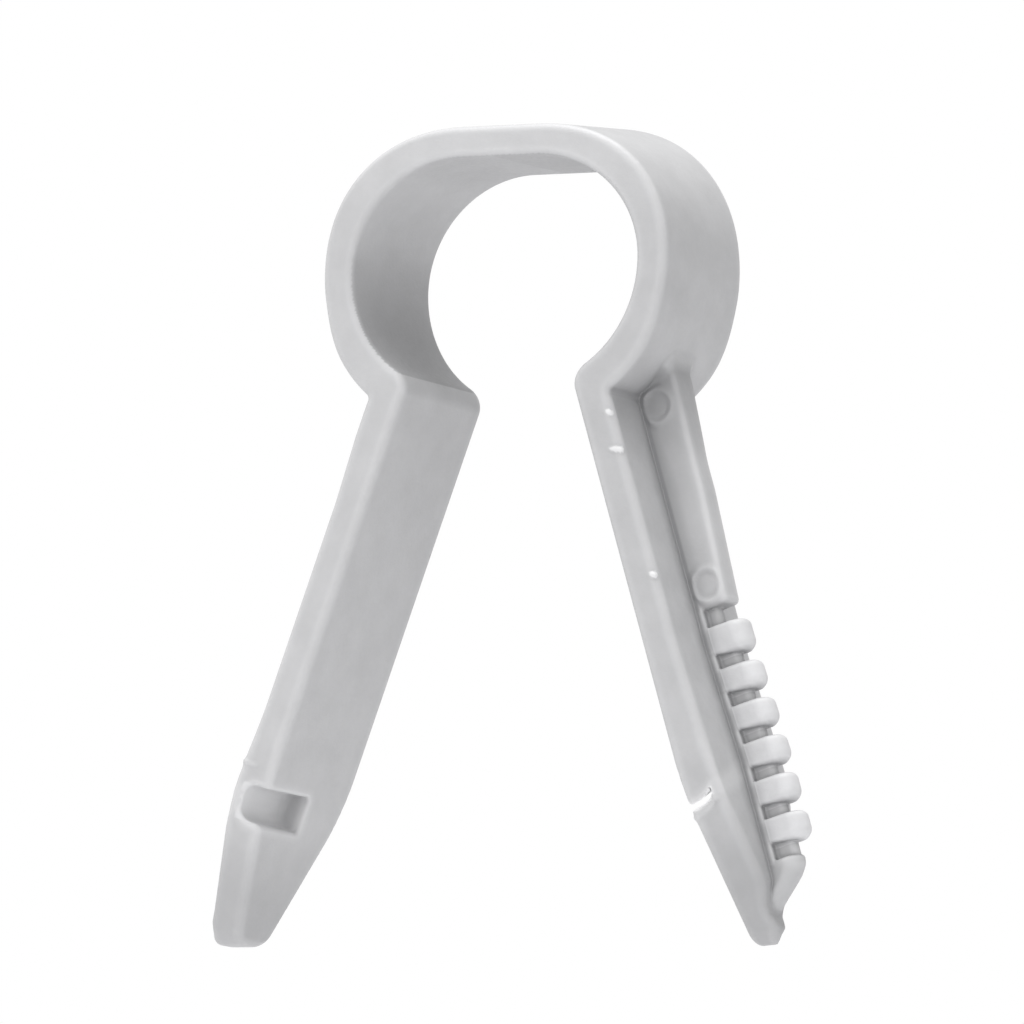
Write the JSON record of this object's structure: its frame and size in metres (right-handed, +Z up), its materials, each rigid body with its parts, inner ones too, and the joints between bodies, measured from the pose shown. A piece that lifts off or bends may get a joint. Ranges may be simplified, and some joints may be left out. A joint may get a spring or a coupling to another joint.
{
  "type": "push-in cable clip wall anchor",
  "caption": "Open nylon loop on two sprung legs that close round a cable and push into a drilled wall hole, where barbs on one leg hold.",
  "frame": {"origin": "middle of the cable loop as moulded, halfway between the centres of its two round halves and halfway across the clip's width", "axes": "+Z up through the crown of the loop, the legs run down -Z; +Y along the cable, away from the side where the pocket and slit open; +X from the plain leg towards the barbed leg"},
  "size_m": [0.0236, 0.0054, 0.0295],
  "materials": {
    "nylon": "light grey moulded nylon, satin, soft edges"
  },
  "bodies": {
    "crown": {"crown_web": "nylon"},
    "left_half": {"left_arm": "nylon", "left_leg": "nylon", "left_tip": "nylon"},
    "right_half": {"right_arm": "nylon", "right_leg": "nylon", "right_tip": "nylon", "rib": "nylon", "barb_rail": "nylon", "barb_1": "nylon", "barb_2": "nylon", "barb_3": "nylon", "barb_4": "nylon", "barb_5": "nylon", "barb_6": "nylon", "rib_toe": "nylon"}
  },
  "joints": [
    {"name": "right_flex", "type": "hinge", "parent": "crown", "child": "right_half", "pos_m": [0.00076, 0, 0.0049], "axis": [0, 1, 0], "range_deg": [-4, 19], "stiffness_Nm_per_rad": 0.25},
    {"name": "left_flex", "type": "hinge", "parent": "crown", "child": "left_half", "pos_m": [-0.00076, 0, 0.0049], "axis": [0, -1, 0], "range_deg": [-4, 19], "stiffness_Nm_per_rad": 0.25}
  ]
}
